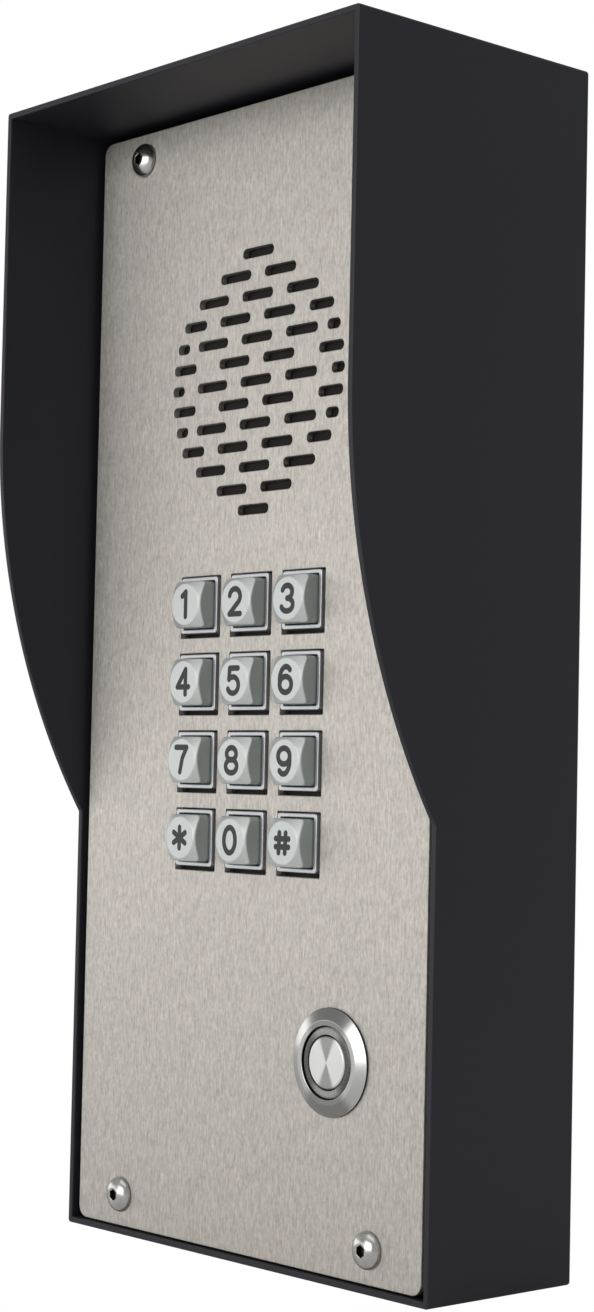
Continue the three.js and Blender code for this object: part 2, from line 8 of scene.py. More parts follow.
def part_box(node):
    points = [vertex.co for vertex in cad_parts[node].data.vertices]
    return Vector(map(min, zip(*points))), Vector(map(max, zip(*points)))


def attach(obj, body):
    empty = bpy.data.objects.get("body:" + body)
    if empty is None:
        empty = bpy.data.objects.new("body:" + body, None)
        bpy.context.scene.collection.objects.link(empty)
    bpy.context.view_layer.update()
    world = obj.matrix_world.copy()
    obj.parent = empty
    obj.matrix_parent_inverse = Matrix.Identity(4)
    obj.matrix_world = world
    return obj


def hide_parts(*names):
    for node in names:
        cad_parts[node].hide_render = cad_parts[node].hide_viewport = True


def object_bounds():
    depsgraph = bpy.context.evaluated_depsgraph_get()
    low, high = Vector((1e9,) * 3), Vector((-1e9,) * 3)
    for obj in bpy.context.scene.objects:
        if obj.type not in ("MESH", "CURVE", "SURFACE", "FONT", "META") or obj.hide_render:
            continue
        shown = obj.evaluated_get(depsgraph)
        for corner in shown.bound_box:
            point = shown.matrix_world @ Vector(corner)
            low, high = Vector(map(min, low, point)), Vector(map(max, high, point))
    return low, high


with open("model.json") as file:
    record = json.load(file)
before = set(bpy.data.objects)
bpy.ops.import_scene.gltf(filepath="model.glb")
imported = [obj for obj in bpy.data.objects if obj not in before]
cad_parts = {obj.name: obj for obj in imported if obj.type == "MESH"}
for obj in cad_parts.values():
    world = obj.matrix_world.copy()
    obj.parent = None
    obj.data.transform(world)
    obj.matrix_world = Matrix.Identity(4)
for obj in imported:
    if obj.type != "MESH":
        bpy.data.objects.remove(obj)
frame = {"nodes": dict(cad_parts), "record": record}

cadBox = [[float(value) for value in corner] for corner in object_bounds()]
scene = bpy.context.scene
record = frame["record"]
bodies = record["behaviour"]["bodies"]
slotOfNode = {row["node"]: row["material_slot"] for row in record["subparts"]}
mm = 0.001
white = (1.0, 1.0, 1.0, 1.0)

view = {
    "place": (0.45624, -0.43370, -0.02563),
    "tilt": 92.744,  # degrees
    "roll": -1.205,
    "turn": 48.435,
    "lens": 68.52,
    "film": 36,
    "nearest": 0.01,
}


def placeCamera():
    data = bpy.data.cameras.new("view")
    data.lens = view["lens"]
    data.sensor_width = view["film"]
    data.clip_start = view["nearest"]
    camera = bpy.data.objects.new("view", data)
    camera.location = view["place"]
    camera.rotation_euler = [math.radians(view[name]) for name in ("tilt", "roll", "turn")]
    scene.collection.objects.link(camera)
    scene.camera = camera


placeCamera()
print("camera placed")


class Signal:
    # one socket of a finish, with the operators that the finishes use
    def __init__(self, finish, socket):
        self.finish = finish
        self.socket = socket

    def __add__(self, other):
        return self.finish.math("ADD", self, other)

    def __radd__(self, other):
        return self.finish.math("ADD", other, self)

    def __mul__(self, other):
        return self.finish.math("MULTIPLY", self, other)

    def __rmul__(self, other):
        return self.finish.math("MULTIPLY", other, self)

    def __truediv__(self, other):
        return self.finish.math("DIVIDE", self, other)

    def __rtruediv__(self, other):
        return self.finish.math("DIVIDE", other, self)


class Finish:
    # one material; node() adds any node, and Signal adds the Math nodes
    def __init__(self, name, roughness=0.5, metallic=0.0, **constants):
        self.material = bpy.data.materials.new(name)
        self.material.use_nodes = True
        self.tree = self.material.node_tree
        self.surface = self.tree.nodes["Principled BSDF"]
        self.set("Roughness", roughness)
        self.set("Metallic", metallic)
        for socket, value in constants.items():
            self.set(socket.replace("_", " "), value)
        self.place = self.node("ShaderNodeTexCoord", output="Object")

    def connect(self, socket, value):
        if isinstance(value, Signal):
            self.tree.links.new(value.socket, socket)
        else:
            socket.default_value = value

    def set(self, socket, value):
        self.connect(self.surface.inputs[socket], value)

    def node(self, kind, settings=None, inputs=None, output=0):
        made = self.tree.nodes.new(kind)
        for name, value in (settings or {}).items():
            if name == "stops":
                ramp = made.color_ramp
                while len(ramp.elements) < len(value):
                    ramp.elements.new(0.5)
                for element, (position, colour) in zip(ramp.elements, value):
                    element.position = position
                    element.color = colour
            else:
                setattr(made, name, value)
        for name, value in (inputs or {}).items():
            self.connect(made.inputs[name], value)
        return Signal(self, made.outputs[output])

    def math(self, operation, first, second=0.0):
        return self.node("ShaderNodeMath", {"operation": operation}, {0: first, 1: second})

    def noise(self, scale, detail, roughness=0.5):
        # scale is in cells per metre: one number, or one for each axis where the grain has a direction
        cells = scale if isinstance(scale, tuple) else (scale, scale, scale)
        stretched = self.node("ShaderNodeMapping", {}, {"Vector": self.place, "Scale": cells})
        return self.node(
            "ShaderNodeTexNoise",
            {"noise_dimensions": "3D"},
            {"Vector": stretched, "Scale": 1.0, "Detail": detail, "Roughness": roughness},
        )

    def ramp(self, factor, stops):
        return self.node("ShaderNodeValToRGB", {"stops": stops}, {"Fac": factor}, "Color")

    def blend(self, factor, first, second):
        return self.node(
            "ShaderNodeMix", {"data_type": "RGBA"}, {"Factor": factor, 6: first, 7: second}, 2
        )

    def range(self, factor, low, high):
        return factor * (high - low) + low

    def step(self, value, start, end, low, high):
        # a soft step from low to high as value goes from start to end
        return self.node(
            "ShaderNodeMapRange",
            {"interpolation_type": "SMOOTHSTEP"},
            {"Value": value, "From Min": start, "From Max": end, "To Min": low, "To Max": high},
        )

    def bump(self, height, distance, strength):
        normal = self.node(
            "ShaderNodeBump", {}, {"Height": height, "Distance": distance, "Strength": strength}, "Normal"
        )
        self.set("Normal", normal)


def shade(red, green, blue):
    return (red, green, blue, 1.0)


powder = {
    "dark": shade(0.0130, 0.0124, 0.0160),
    "light": shade(0.0205, 0.0196, 0.0250),
    "roughness": (0.44, 0.54),
    "peel": 900,  # cells per metre, here and in every finish
    "grit": 3200,
    "cloud": 14,
    "bump": 0.02 * mm,
    "strength": 0.6,
}


def powderCoat():
    coat = Finish("powder_coat", Specular_IOR_Level=0.3)
    peel = coat.noise(powder["peel"], 2.0)
    grit = coat.noise(powder["grit"], 1.0)
    cloud = coat.noise(powder["cloud"], 3.0)
    coat.set("Base Color", coat.blend(cloud * 0.6 + grit * 0.4, powder["dark"], powder["light"]))
    coat.set("Roughness", coat.range(cloud * 0.5 + peel * 0.5, *powder["roughness"]))
    coat.bump(peel * 0.7 + grit * 0.3, powder["bump"], powder["strength"])
    return coat.material


brushed = {
    "dark": shade(0.38, 0.355, 0.325),
    "light": shade(0.66, 0.62, 0.565),
    "roughness": (0.54, 0.66),
    "fine": (4200, 4200, 380),  # fewer cells upwards, so the grain runs upright
    "coarse": (1500, 1500, 260),
    "mottle": (1300, 1300, 800),
    "contrast": (0.36, 0.64),
    "anisotropy": 0.5,
    "bump": 0.004 * mm,
    "strength": 0.5,
}


def brushedSteel():
    steel = Finish("brushed_steel", metallic=1.0, Anisotropic=brushed["anisotropy"])
    fine = steel.noise(brushed["fine"], 3.0, 0.6)
    coarse = steel.noise(brushed["coarse"], 2.0)
    mottle = steel.noise(brushed["mottle"], 3.0, 0.7)
    grain = fine * 0.4 + coarse * 0.25 + mottle * 0.35
    start, end = brushed["contrast"]
    steel.set("Base Color", steel.ramp(grain, [(start, brushed["dark"]), (end, brushed["light"])]))
    steel.set("Roughness", steel.range(grain, *brushed["roughness"]))
    steel.bump(fine * 0.7 + mottle * 0.3, brushed["bump"], brushed["strength"])
    return steel.material


casting = {"fine": 2600, "patch": 260, "spread": 0.06, "bump": 0.006 * mm, "strength": 0.4}


def satinCasting(name, dark, light, roughness, metallic=1.0):
    satin = Finish(name, metallic=metallic)
    fine = satin.noise(casting["fine"], 3.0, 0.6)
    patch = satin.noise(casting["patch"], 2.0)
    spread = casting["spread"]
    satin.set("Base Color", satin.blend(fine * 0.4 + patch * 0.6, dark, light))
    satin.set("Roughness", satin.range(patch * 0.6 + fine * 0.4, roughness - spread, roughness + spread))
    satin.bump(fine, casting["bump"], casting["strength"])
    return satin.material


buttonLow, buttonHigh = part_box("button_bezel")
buttonCentre = (buttonLow + buttonHigh) / 2


def fromButton(finish):
    # distance from the call button's axis, and the same place as a flat vector
    offset = (-buttonCentre.x, 0, -buttonCentre.z)
    centred = {"Vector": finish.place, "Location": offset, "Scale": (1, 0, 1)}
    flat = finish.node("ShaderNodeMapping", {}, centred)
    return finish.node("ShaderNodeVectorMath", {"operation": "LENGTH"}, {0: flat}, "Value"), flat


def aroundButton(finish):
    # 0 straight above and below the button's axis, 1 straight beside it
    radius, flat = fromButton(finish)
    sideways = finish.node("ShaderNodeSeparateXYZ", {}, {0: flat}, "X")
    return finish.math("ABSOLUTE", sideways / (radius + 0.02 * mm))


turning = {"scatter": 9000, "spread": 0.05, "bump": 0.0025 * mm, "strength": 0.5}


def turnedSteelAndPaintedSheen(name, pitch, dark, light, roughness, paintedWedge, paintedShine):
    # lathe lines about the call button's axis, with a painted highlight beside the axis and painted shade
    # above and below it; the wedge pair says how far round the painted highlight reaches, and the shine
    # number how strong it is
    steel = Finish(name, metallic=1.0)
    line = steel.math("SINE", fromButton(steel)[0] * (2 * math.pi / pitch))
    scatter = steel.noise(turning["scatter"], 1.0)
    groove = line * 0.3 + scatter * 0.7
    # painted highlight: lighter beside the axis, darker above and below it
    paintedHighlight = steel.step(aroundButton(steel), paintedWedge[0], paintedWedge[1], 0.0, paintedShine)
    spread = turning["spread"]
    steel.set("Base Color", steel.blend(groove * 0.3 + paintedHighlight, dark, light))
    steel.set("Roughness", steel.range(groove, roughness - spread, roughness + spread))
    steel.bump(line, turning["bump"], turning["strength"])
    return steel.material


lampLens = {
    "dark": shade(0.035, 0.034, 0.032),
    "light": shade(0.30, 0.30, 0.285),
    "roughness": (0.2, 0.34),
    # where the painted shade beside the button's axis begins and ends, as a share of the way round
    "paintedWedge": (0.35, 0.8),
    "fine": 1800,
}


def lampRing():
    # smoked plastic over the lamps, with painted light above and below the button's axis and painted shade
    # beside it
    lens = Finish("lamp_ring", Coat_Weight=0.3, Coat_Roughness=0.2)
    start, end = lampLens["paintedWedge"]
    # painted shade: darker beside the axis, paler above and below it
    paintedLighting = lens.step(aroundButton(lens), start, end, 1.0, 0.0)
    fine = lens.noise(lampLens["fine"], 2.0)
    lens.set("Base Color", lens.blend(paintedLighting * 0.85 + fine * 0.15, lampLens["dark"], lampLens["light"]))
    lens.set("Roughness", lens.range(fine, *lampLens["roughness"]))
    return lens.material


polish = {
    "dark": shade(0.36, 0.345, 0.32),
    "light": shade(0.66, 0.64, 0.61),
    "roughness": (0.18, 0.30),
    "smear": 500,
}


def polishedSteel():
    steel = Finish("polished_steel", metallic=1.0)
    smear = steel.noise(polish["smear"], 3.0)
    steel.set("Base Color", steel.blend(smear, polish["dark"], polish["light"]))
    steel.set("Roughness", steel.range(smear, *polish["roughness"]))
    return steel.material


moulding = {"drift": 90, "spread": 0.08, "strength": 0.5}


def moulded(name, dark, light, roughness, grain=3000, depth=0.008 * mm):
    # plastic, rubber, paper or paint: a fine grain and a slow drift of tone
    body = Finish(name)
    fine = body.noise(grain, 2.0)
    drift = body.noise(moulding["drift"], 2.0)
    spread = moulding["spread"]
    body.set("Base Color", body.blend(fine * 0.5 + drift * 0.5, dark, light))
    body.set("Roughness", body.range(drift * 0.5 + fine * 0.5, roughness - spread, roughness + spread))
    body.bump(fine, depth, moulding["strength"])
    return body.material


zinc = {
    "dark": shade(0.45, 0.45, 0.44),
    "light": shade(0.66, 0.66, 0.64),
    "roughness": (0.28, 0.42),
    "spangle": 700,
    "fine": 4000,
}


def platedSteel():
    plated = Finish("zinc_plate", metallic=1.0)
    cells = {"Vector": plated.place, "Scale": zinc["spangle"]}
    spangle = plated.node("ShaderNodeTexVoronoi", {"feature": "F1"}, cells, "Color")
    tint = plated.node("ShaderNodeSeparateColor", {}, {0: spangle})
    fine = plated.noise(zinc["fine"], 1.0)
    plated.set("Base Color", plated.blend(tint * 0.5 + fine * 0.5, zinc["dark"], zinc["light"]))
    plated.set("Roughness", plated.range(tint, *zinc["roughness"]))
    return plated.material


speakerCloth = {
    "dark": shade(0.006, 0.0045, 0.004),
    "light": shade(0.022, 0.016, 0.013),
    "thread": 0.55 * mm,
    "bump": 0.08 * mm,
    "strength": 0.8,
}


def wovenCloth():
    cloth = Finish("speaker_cloth", roughness=0.95)
    pitch = 2 * math.pi / speakerCloth["thread"]
    across = cloth.node("ShaderNodeSeparateXYZ", {}, {0: cloth.place}, "X")
    up = cloth.node("ShaderNodeSeparateXYZ", {}, {0: cloth.place}, "Z")
    weave = cloth.math("SINE", across * pitch) * cloth.math("SINE", up * pitch)
    height = weave * 0.5 + 0.5
    cloth.set("Base Color", cloth.blend(height, speakerCloth["dark"], speakerCloth["light"]))
    cloth.bump(height, speakerCloth["bump"], speakerCloth["strength"])
    return cloth.material


resist = {
    "panel": shade(0.008, 0.075, 0.028),
    "otherPanel": shade(0.010, 0.095, 0.034),
    "track": shade(0.03, 0.17, 0.07),
    "roughness": (0.28, 0.42),
    "tracks": 220,
    "trackWidth": 0.05,
    "fine": 2500,
}


def solderResist():
    board = Finish("solder_resist", roughness=0.35)
    upright = board.node(
        "ShaderNodeMapping", {}, {"Vector": board.place, "Rotation": (math.pi / 2, 0, 0)}
    )
    lanes = board.node(
        "ShaderNodeTexBrick",
        {"offset": 0.5, "squash": 1.0},
        {
            "Vector": upright,
            "Scale": resist["tracks"],
            "Mortar Size": resist["trackWidth"],
            "Color1": resist["panel"],
            "Color2": resist["otherPanel"],
            "Mortar": resist["track"],
        },
        "Color",
    )
    fine = board.noise(resist["fine"], 1.0)
    board.set("Base Color", lanes)
    board.set("Roughness", board.range(fine, *resist["roughness"]))
    return board.material


finishes = {
    "housing": powderCoat(),
    "front_plate": brushedSteel(),
    "casting": satinCasting("collar_casting", shade(0.44, 0.44, 0.45), shade(0.58, 0.58, 0.59), 0.36, 0.7),
    "keys": satinCasting("key_casting", shade(0.46, 0.475, 0.455), shade(0.60, 0.615, 0.595), 0.42, 0.55),
    "screws": polishedSteel(),
    "plated": platedSteel(),
    # the bezel: turned lines, with a painted highlight beside the button's axis and painted shade above and
    # below it
    "button_steel": turnedSteelAndPaintedSheen(
        "turned_bezel_painted_sheen", 0.22 * mm, shade(0.24, 0.235, 0.22), shade(0.62, 0.61, 0.59), 0.24, (0.5, 0.75), 0.7
    ),
    "light_ring": lampRing(),
    "black_rubber": moulded("black_rubber", shade(0.009, 0.009, 0.009), shade(0.02, 0.02, 0.02), 0.8),
    "grey_rubber": moulded("grey_rubber", shade(0.09, 0.09, 0.094), shade(0.14, 0.14, 0.145), 0.75),
    "circuit_board": solderResist(),
    "cloth": wovenCloth(),
    "cone": moulded(
        "coated_paper", shade(0.01, 0.0095, 0.009), shade(0.022, 0.02, 0.018), 0.85, 1200, 0.05 * mm
    ),
    "ferrite": moulded("ferrite", shade(0.022, 0.022, 0.024), shade(0.04, 0.04, 0.043), 0.6),
    "black_plastic": moulded("black_plastic", shade(0.009, 0.009, 0.01), shade(0.018, 0.018, 0.019), 0.42),
    "nylon": moulded("nylon", shade(0.68, 0.66, 0.58), shade(0.8, 0.78, 0.71), 0.5),
    "relay_case": moulded("relay_case", shade(0.014, 0.045, 0.16), shade(0.022, 0.065, 0.22), 0.35),
    "terminal_block": moulded("terminal_block", shade(0.022, 0.12, 0.045), shade(0.034, 0.17, 0.065), 0.42),
    "grey_lead": moulded("grey_insulation", shade(0.13, 0.134, 0.14), shade(0.18, 0.185, 0.19), 0.5),
    "red_lead": moulded("red_insulation", shade(0.24, 0.022, 0.014), shade(0.33, 0.035, 0.022), 0.5),
}
# a darker copy of the key casting for the keys' sides: painted shade
keySidesPaintedShade = satinCasting("key_sides_painted_shade", shade(0.34, 0.375, 0.355), shade(0.46, 0.50, 0.475), 0.45, 0.45)
# the button face: turned lines, with a painted highlight beside the axis and painted shade above and below it
faceSteel = turnedSteelAndPaintedSheen(
    "turned_face_painted_sheen", 0.16 * mm, shade(0.28, 0.275, 0.26), shade(0.82, 0.81, 0.78), 0.32, (0.28, 0.55), 0.75
)
# near-black steel for the bezel flange's side and the screw sockets: painted shade
paintedShadeSteel = satinCasting("painted_shade_steel", shade(0.030, 0.029, 0.027), shade(0.06, 0.058, 0.054), 0.5)
# near-black for the keypad tray seen through the gaps round the collars: painted shade
trayPaintedShade = moulded("tray_painted_shade", shade(0.006, 0.006, 0.006), shade(0.012, 0.012, 0.012), 0.7)
markPaint = moulded("mark_paint", shade(0.010, 0.012, 0.012), shade(0.024, 0.026, 0.026), 0.55)
print("finishes made")


touching = 0.0001 * mm  # points closer than this are one point


def middle(node):
    low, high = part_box(node)
    return (low + high) / 2


def arcPoints(x, z, radius, start, end, steps):
    points = []
    for i in range(steps + 1):
        angle = math.radians(start) + math.radians(end - start) * i / steps
        points.append((x + radius * math.cos(angle), z + radius * math.sin(angle)))
    return points


def roundedBox(width, height, radius, x, z, steps=6):
    reach = (width / 2 - radius, height / 2 - radius)
    points = []
    for sideX, sideZ, start in ((1, 1, 0), (-1, 1, 90), (-1, -1, 180), (1, -1, 270)):
        points += arcPoints(x + sideX * reach[0], z + sideZ * reach[1], radius, start, start + 90, steps)
    return points


def obround(length, width, x, z, upright=False, steps=10):
    reach = (length - width) / 2
    turn = 90 if upright else 0
    dx, dz = (0, reach) if upright else (reach, 0)
    return arcPoints(x + dx, z + dz, width / 2, turn - 90, turn + 90, steps) + arcPoints(
        x - dx, z - dz, width / 2, turn + 90, turn + 270, steps
    )


def ring(radius, x, z, steps=32):
    return arcPoints(x, z, radius, 0, 360, steps)[:-1]


def clean(points):
    # drops a point that repeats the one before it
    pairs = zip(points, points[-1:] + points[:-1])
    return [point for point, before in pairs if math.dist(point, before) > touching]


def addFlat(bm, outlines, rear, front, rounding, material=0):
    # a flat piece facing -Y between two depths, with its edges rounded; outlines inside the first are holes
    curve = bpy.data.curves.new("outline", "CURVE")
    curve.dimensions = "2D"
    curve.fill_mode = "BOTH"
    curve.extrude = (front - rear) / 2 - rounding
    curve.bevel_depth = rounding
    curve.bevel_resolution = 1
    curve.offset = -rounding
    for outline in outlines:
        spline = curve.splines.new("POLY")
        spline.points.add(len(outline) - 1)
        for point, (x, z) in zip(spline.points, outline):
            point.co = (x, z, 0, 1)
        spline.use_cyclic_u = True
    carrier = bpy.data.objects.new("outline", curve)
    mesh = bpy.data.meshes.new_from_object(carrier)
    stand = Matrix.Translation((0, -(front + rear) / 2, 0)) @ Matrix.Rotation(math.pi / 2, 4, "X")
    mesh.transform(stand)
    mesh.polygons.foreach_set("material_index", [material] * len(mesh.polygons))
    bm.from_mesh(mesh)
    bpy.data.objects.remove(carrier)
    bpy.data.curves.remove(curve)
    bpy.data.meshes.remove(mesh)


def roundEdges(bm, edges, width, segments=2):
    bmesh.ops.bevel(
        bm, geom=edges, offset=width, segments=segments, profile=0.5, affect="EDGES", material=-1
    )


def roundSharp(bm, width, segments=2):
    limit = math.radians(30)
    sharp = [edge for edge in bm.edges if edge.calc_face_angle(0) > limit]
    bmesh.ops.bevel(
        bm,
        geom=sharp,
        offset=width,
        segments=segments,
        profile=0.5,
        affect="EDGES",
        material=-1,
        clamp_overlap=True,
        loop_slide=False,
    )


def spun(profile, x, z, steps):
    # a turned piece about an axis along Y; the profile holds (radius, depth) pairs and closes on itself
    bm = bmesh.new()
    verts = [bm.verts.new((x + radius, -depth, z)) for radius, depth in profile]
    onAxis = profile[0][0] == 0 and profile[-1][0] == 0
    pairs = list(zip(verts, verts[1:] + ([] if onAxis else verts[:1])))
    edges = [bm.edges.new(pair) for pair in pairs]
    bmesh.ops.spin(
        bm,
        geom=verts + edges,
        axis=(0, 1, 0),
        cent=(x, 0, z),
        angle=2 * math.pi,
        steps=steps,
        use_merge=True,
    )
    bmesh.ops.remove_doubles(bm, verts=bm.verts, dist=touching)
    bmesh.ops.recalc_face_normals(bm, faces=bm.faces)
    return bm


def growRing(bm, edges, place):
    # extrudes an edge loop and moves its copy; place takes a vertex position and gives the new one
    grown = bmesh.ops.extrude_edge_only(bm, edges=edges)["geom"]
    fresh = {item for item in grown if isinstance(item, bmesh.types.BMVert)}
    for vert in fresh:
        vert.co = place(vert.co)
    return [
        item
        for item in grown
        if isinstance(item, bmesh.types.BMEdge) and item.verts[0] in fresh and item.verts[1] in fresh
    ]


def startRing(bm, x, z, depth, radiusAt, segments):
    # a filled face about an axis along Y, whose rim follows radiusAt(angle)
    disc = bmesh.ops.create_circle(bm, cap_ends=True, radius=1.0, segments=segments)
    place = atRadius(x, z, radiusAt, depth)
    edges = list({edge for vert in disc["verts"] for edge in vert.link_edges})
    for vert in disc["verts"]:
        flat = Vector((x + vert.co.x, 0, z + vert.co.y))
        vert.co = place(flat)
    return edges


def atRadius(x, z, radiusAt, depth):
    # depth may be a number or a function of radius
    def place(co):
        angle = math.atan2(co.z - z, co.x - x)
        radius = radiusAt(angle) if callable(radiusAt) else radiusAt
        level = depth(radius) if callable(depth) else depth
        return Vector((x + radius * math.cos(angle), -level, z + radius * math.sin(angle)))

    return place


def finishPiece(name, bm, finish, replaced=(), body="root", smooth=32):
    bmesh.ops.remove_doubles(bm, verts=bm.verts, dist=touching)
    bmesh.ops.recalc_face_normals(bm, faces=bm.faces)
    mesh = bpy.data.meshes.new(name)
    bm.to_mesh(mesh)
    bm.free()
    mesh.shade_smooth()
    mesh.set_sharp_from_angle(angle=math.radians(smooth))
    for polygon in mesh.polygons:
        if max(abs(part) for part in polygon.normal) > 0.9999:  # square to an axis
            polygon.use_smooth = False
    for material in finish if isinstance(finish, list) else [finish]:
        mesh.materials.append(material)
    piece = bpy.data.objects.new(name, mesh)
    scene.collection.objects.link(piece)
    flats = piece.modifiers.new("flats", "WEIGHTED_NORMAL")  # keeps broad faces flat beside rounded edges
    flats.keep_sharp = True
    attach(piece, body)
    if replaced:
        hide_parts(*replaced)


housing = {
    "sheet": 1.5 * mm,
    "straightEnd": 60 * mm,  # height at which the hood's straight edge ends
    "curveEnd": -36 * mm,
    "rim": 46.2 * mm,
    "curveSteps": 36,
    "corner": 0.8 * mm,
    "rimEdge": 0.25 * mm,
    "cableHole": 10 * mm,  # radius
    "fixing": {"width": 6 * mm, "length": 10 * mm, "x": 40 * mm, "z": 100 * mm},
}


def hoodOutline(low, high):
    top, bottom, hood = high.z, low.z, -low.y
    reach = hood - housing["rim"]
    drop = housing["straightEnd"] - housing["curveEnd"]
    radius = (drop * drop + reach * reach) / (2 * reach)
    points = [(0, bottom), (housing["rim"], bottom)]
    for i in range(housing["curveSteps"] + 1):
        height = housing["curveEnd"] + drop * i / housing["curveSteps"]
        below = housing["straightEnd"] - height
        points.append((hood - radius + math.sqrt(radius * radius - below * below), height))
    return points + [(hood, top), (0, top)]


def facesForward(face, least=0.3):
    return face.normal.y < -least


def bentShell(low, high):
    # the cheek's outline pushed across to the other cheek, then hollowed out from the front
    sheet = housing["sheet"]
    bm = bmesh.new()
    side = [bm.verts.new((low.x, -depth, height)) for depth, height in hoodOutline(low, high)]
    cheek = bm.faces.new(side)
    grown = bmesh.ops.extrude_face_region(bm, geom=[cheek])["geom"]
    far = [item for item in grown if isinstance(item, bmesh.types.BMVert)]
    bmesh.ops.translate(bm, verts=far, vec=(high.x - low.x, 0, 0))
    bmesh.ops.recalc_face_normals(bm, faces=bm.faces)
    opening = [face for face in bm.faces if facesForward(face) and abs(face.normal.x) < 0.5]
    bmesh.ops.inset_region(bm, faces=opening, thickness=sheet, depth=0, use_even_offset=True)
    grown = bmesh.ops.extrude_face_region(bm, geom=opening)["geom"]
    bmesh.ops.delete(bm, geom=opening, context="FACES_ONLY")
    bottom = [item for item in grown if isinstance(item, bmesh.types.BMFace)]
    for vert in {vert for face in bottom for vert in face.verts}:
        vert.co.y = -sheet
    bmesh.ops.dissolve_faces(bm, faces=bottom)
    bmesh.ops.recalc_face_normals(bm, faces=bm.faces)
    return bm


def roundShell(bm, low, high):
    # the outside bends, then the sheet's cut edge round the opening
    def onCheek(vert):
        return min(abs(vert.co.x - low.x), abs(vert.co.x - high.x)) < 0.001 * mm

    squareBend = 1.2  # radians; the cheeks' curve turns far less from face to face
    bends = [
        edge
        for edge in bm.edges
        if edge.calc_face_angle(0) > squareBend
        and all(onCheek(vert) for vert in edge.verts)
        and all(face.normal.y > -0.1 for face in edge.link_faces)
    ]
    roundEdges(bm, bends, housing["corner"], segments=4)
    bottom = -2 * housing["sheet"]
    rim = {face for face in bm.faces if facesForward(face) and face.calc_center_median().y < bottom}
    cut = [edge for edge in bm.edges if len(rim.intersection(edge.link_faces)) == 1]
    roundEdges(bm, cut, housing["rimEdge"])


def backHoles():
    # the four wall slots and the cable hole
    fixing = housing["fixing"]
    loops = []
    for sideX in (-1, 1):
        for sideZ in (-1, 1):
            x, z = sideX * fixing["x"], sideZ * fixing["z"]
            loops.append(obround(fixing["length"], fixing["width"], x, z, True))
    cable = middle("cable_grommet")
    return loops + [ring(housing["cableHole"], cable.x, cable.z, steps=48)]


def cutFace(bm, face, loops):
    # replaces a flat face by the same face with holes
    border = list(face.edges)
    normal = face.normal.copy()
    bmesh.ops.delete(bm, geom=[face], context="FACES_ONLY")
    bmesh.ops.triangle_fill(bm, use_beauty=True, use_dissolve=False, edges=border + loops, normal=normal)


def cutBack(bm):
    sheet = housing["sheet"]
    outer = [face for face in bm.faces if face.normal.y > 0.99]
    inner = [
        face
        for face in bm.faces
        if facesForward(face, 0.99) and abs(face.calc_center_median().y + sheet) < 0.01 * mm
    ]
    rearEdges = []
    for loop in backHoles():
        verts = [bm.verts.new((x, 0, z)) for x, z in clean(loop)]
        rearEdges += [bm.edges.new(pair) for pair in zip(verts, verts[1:] + verts[:1])]
    frontEdges = growRing(bm, rearEdges, lambda co: Vector((co.x, -sheet, co.z)))
    cutFace(bm, max(outer, key=lambda face: face.calc_area()), rearEdges)
    cutFace(bm, max(inner, key=lambda face: face.calc_area()), frontEdges)


def makeHousing():
    low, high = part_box("housing")
    bm = bentShell(low, high)
    roundShell(bm, low, high)
    cutBack(bm)
    finishPiece("hooded_housing", bm, finishes["housing"], ["housing"])


makeHousing()
print("housing made")


plate = {
    "thickness": 2 * mm,
    "corner": 3 * mm,
    "edge": 0.2 * mm,
    "opening": 15.2 * mm,
    "openingCorner": 0.3 * mm,
    "screwHole": 2.75 * mm,
    "buttonHole": 9.7 * mm,
    "stud": 1.5 * mm,
    "studTip": 1 * mm,  # past its nut
}
grille = {
    "z": 69.6 * mm,
    "radius": 31.75 * mm,
    "slotLength": 11.35 * mm,
    "slotWidth": 2.4 * mm,
    "columns": 16.43 * mm,
    "rows": 5.22 * mm,
    "rowsEachSide": 6,
    "edgeRows": 3,  # rows this near the middle end in a shorter slot at each side
    "edgeLong": 8.6 * mm,
    "edgeShort": 4.5 * mm,
}
keyNames = [body for body in bodies if body.startswith("key_")]
keypadNuts = ["keypad_nut_%d" % i for i in (1, 2, 3, 4)]
corners = ("top_left", "top_right", "bottom_left", "bottom_right")
castingLift = 0.4 * mm  # the casting sits this much above the middle of the plate's openings
sunk = 0.3 * mm  # how far one part of a piece is let into another


def grilleSlots():
    slots = []
    for row in range(-grille["rowsEachSide"], grille["rowsEachSide"] + 1):
        z = grille["z"] + row * grille["rows"]
        even = row % 2 == 0
        full = min(grille["rowsEachSide"] + 1 - abs(row), 3 if even else 2)
        for i in range(full):
            x = (i - (full - 1) / 2) * grille["columns"]
            slots.append(obround(grille["slotLength"], grille["slotWidth"], x, z))
        if abs(row) > grille["edgeRows"]:
            continue
        length = grille["edgeShort"] if even else grille["edgeLong"]
        end = math.sqrt(grille["radius"] ** 2 - (row * grille["rows"]) ** 2)
        for side in (-1, 1):
            slots.append(obround(length, grille["slotWidth"], side * (end - length / 2), z))
    return slots


